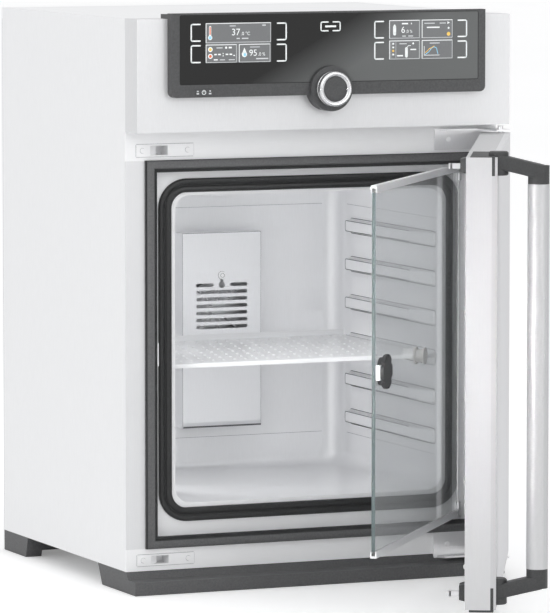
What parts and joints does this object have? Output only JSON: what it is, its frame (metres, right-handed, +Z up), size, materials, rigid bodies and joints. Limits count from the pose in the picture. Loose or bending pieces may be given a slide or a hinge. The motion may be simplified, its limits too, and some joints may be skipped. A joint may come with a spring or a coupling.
{
  "type": "laboratory incubator",
  "caption": "Bench-top laboratory incubator with a heated outer door, an inner glass door, a rounded steel chamber on a perforated shelf and a turning-knob control panel.",
  "frame": {"origin": "the middle of the front foot's underside, below the casing's front sheet", "axes": "X to the right and Y to the back when facing the incubator, Z up"},
  "size_m": [0.5649, 1.0502, 0.7945],
  "materials": {
    "brushed_stainless": "vertically brushed satin stainless",
    "polished_stainless": "smooth bright stainless",
    "textured_steel": "fine pressed texture",
    "shelf_steel": "perforated stainless",
    "zinc_steel": "zinc coated sheet",
    "screw_steel": "bright turned steel",
    "motor_steel": "painted case",
    "knob_metal": "turned aluminium",
    "satin_tube": "satin tube",
    "heater_mat": "silicone heating mat",
    "insulation": "mineral fibre board",
    "grey_silicone": "moulded silicone",
    "black_silicone": "moulded silicone",
    "sensor_body": "moulded plastic",
    "dark_plastic": "textured dark grey plastic",
    "black_trim": "textured black plastic",
    "pale_plastic": "moulded buffer",
    "black_glass": "back-printed glass",
    "display_panel": "display module",
    "circuit_board": "solder mask",
    "clear_glass": "clear float glass"
  },
  "bodies": {
    "casing": {"left_side_panel": "brushed_stainless", "right_side_panel": "brushed_stainless", "top_cover": "brushed_stainless", "rear_panel": "zinc_steel", "base_pan": "zinc_steel", "front_columns": "brushed_stainless", "front_strips": "brushed_stainless", "chamber_flange": "polished_stainless", "chamber_liner": "polished_stainless", "surface_heaters": "heater_mat", "insulation_jacket": "insulation", "outer_gasket": "grey_silicone", "inner_gasket": "black_silicone", "fan_cover": "polished_stainless", "fan_cover_screw": "screw_steel", "fan_motor": "motor_steel", "temperature_sensor": "screw_steel", "gas_and_humidity_sensor": "sensor_body", "front_cover": "textured_steel", "cockpit_frame": "dark_plastic", "cockpit_glass": "black_glass", "displays": "display_panel", "control_board": "circuit_board", "knob_encoder": "dark_plastic", "strike_plates": "screw_steel", "plate_screws": "screw_steel", "hinge_bracket_top": "screw_steel", "hinge_bracket_bottom": "screw_steel", "glass_keeper": "screw_steel", "glass_hinge_posts": "screw_steel", "power_supply": "zinc_steel", "gas_valve": "motor_steel", "humidity_pump": "motor_steel", "front_foot": "dark_plastic", "rear_foot": "dark_plastic", "mains_inlet": "black_trim", "hose_nozzles": "screw_steel", "rear_vent": "dark_plastic"},
    "outer_door": {"door_inner_panel": "brushed_stainless", "door_outer_shell": "brushed_stainless", "door_heater": "heater_mat", "door_insulation": "insulation", "door_corner_caps": "black_trim", "hook_guides": "black_trim", "door_studs": "pale_plastic"},
    "handle": {"handle_levers": "black_trim", "handle_tube": "satin_tube", "handle_hooks": "screw_steel"},
    "glass_door": {"glass_pane": "clear_glass", "glass_edge_channels": "polished_stainless", "glass_clamps": "screw_steel", "sampling_port_plug": "black_silicone"},
    "glass_latch": {"latch_knob": "black_trim", "latch_tongue": "screw_steel"},
    "sliding_shelf": {"shelf": "shelf_steel"},
    "fan": {"fan_impeller": "screw_steel"},
    "knob_stem": {"knob_shaft": "screw_steel"},
    "knob": {"knob_ring": "knob_metal", "knob_cap": "black_trim"},
    "power_key": {"power_button": "dark_plastic"}
  },
  "joints": [
    {"name": "outer_door_hinge", "type": "hinge", "parent": "casing", "child": "outer_door", "pos_m": [0.2685, -0.038, 0], "axis": [0, 0, 1], "range_deg": [-62.4, 60.9]},
    {"name": "glass_door_hinge", "type": "hinge", "parent": "casing", "child": "glass_door", "pos_m": [0.2252, 0.0081, 0], "axis": [0, 0, 1], "range_deg": [-50.6, 49.4]},
    {"name": "handle_pull", "type": "hinge", "parent": "outer_door", "child": "handle", "pos_m": [0.03605, -0.51284, 0], "axis": [0, 0, -1], "range_deg": [0, 6.5], "stiffness_Nm_per_rad": 12},
    {"name": "glass_latch_turn", "type": "hinge", "parent": "glass_door", "child": "glass_latch", "pos_m": [-0.05027, -0.32727, 0.3275], "axis": [0.7727, -0.6347, 0], "range_deg": [0, 90]},
    {"name": "shelf_slide", "type": "slide", "parent": "casing", "child": "sliding_shelf", "axis": [0, -1, 0], "range_m": [0, 0.045]},
    {"name": "fan_spin", "type": "hinge", "parent": "casing", "child": "fan", "pos_m": [0, 0.3, 0.35], "axis": [0, 1, 0], "continuous": true},
    {"name": "knob_push", "type": "slide", "parent": "casing", "child": "knob_stem", "axis": [0, 1, 0], "range_m": [0, 0.0015], "stiffness_N_per_m": 900},
    {"name": "knob_turn", "type": "hinge", "parent": "knob_stem", "child": "knob", "pos_m": [0, -0.058, 0.689], "axis": [0, -1, 0], "continuous": true},
    {"name": "power_key_push", "type": "slide", "parent": "casing", "child": "power_key", "axis": [0, 1, 0], "range_m": [0, 0.0015], "stiffness_N_per_m": 900}
  ],
  "couplings": [
    {"joint": "glass_door_hinge", "follows": "outer_door_hinge", "ratio": 0.8109}
  ]
}
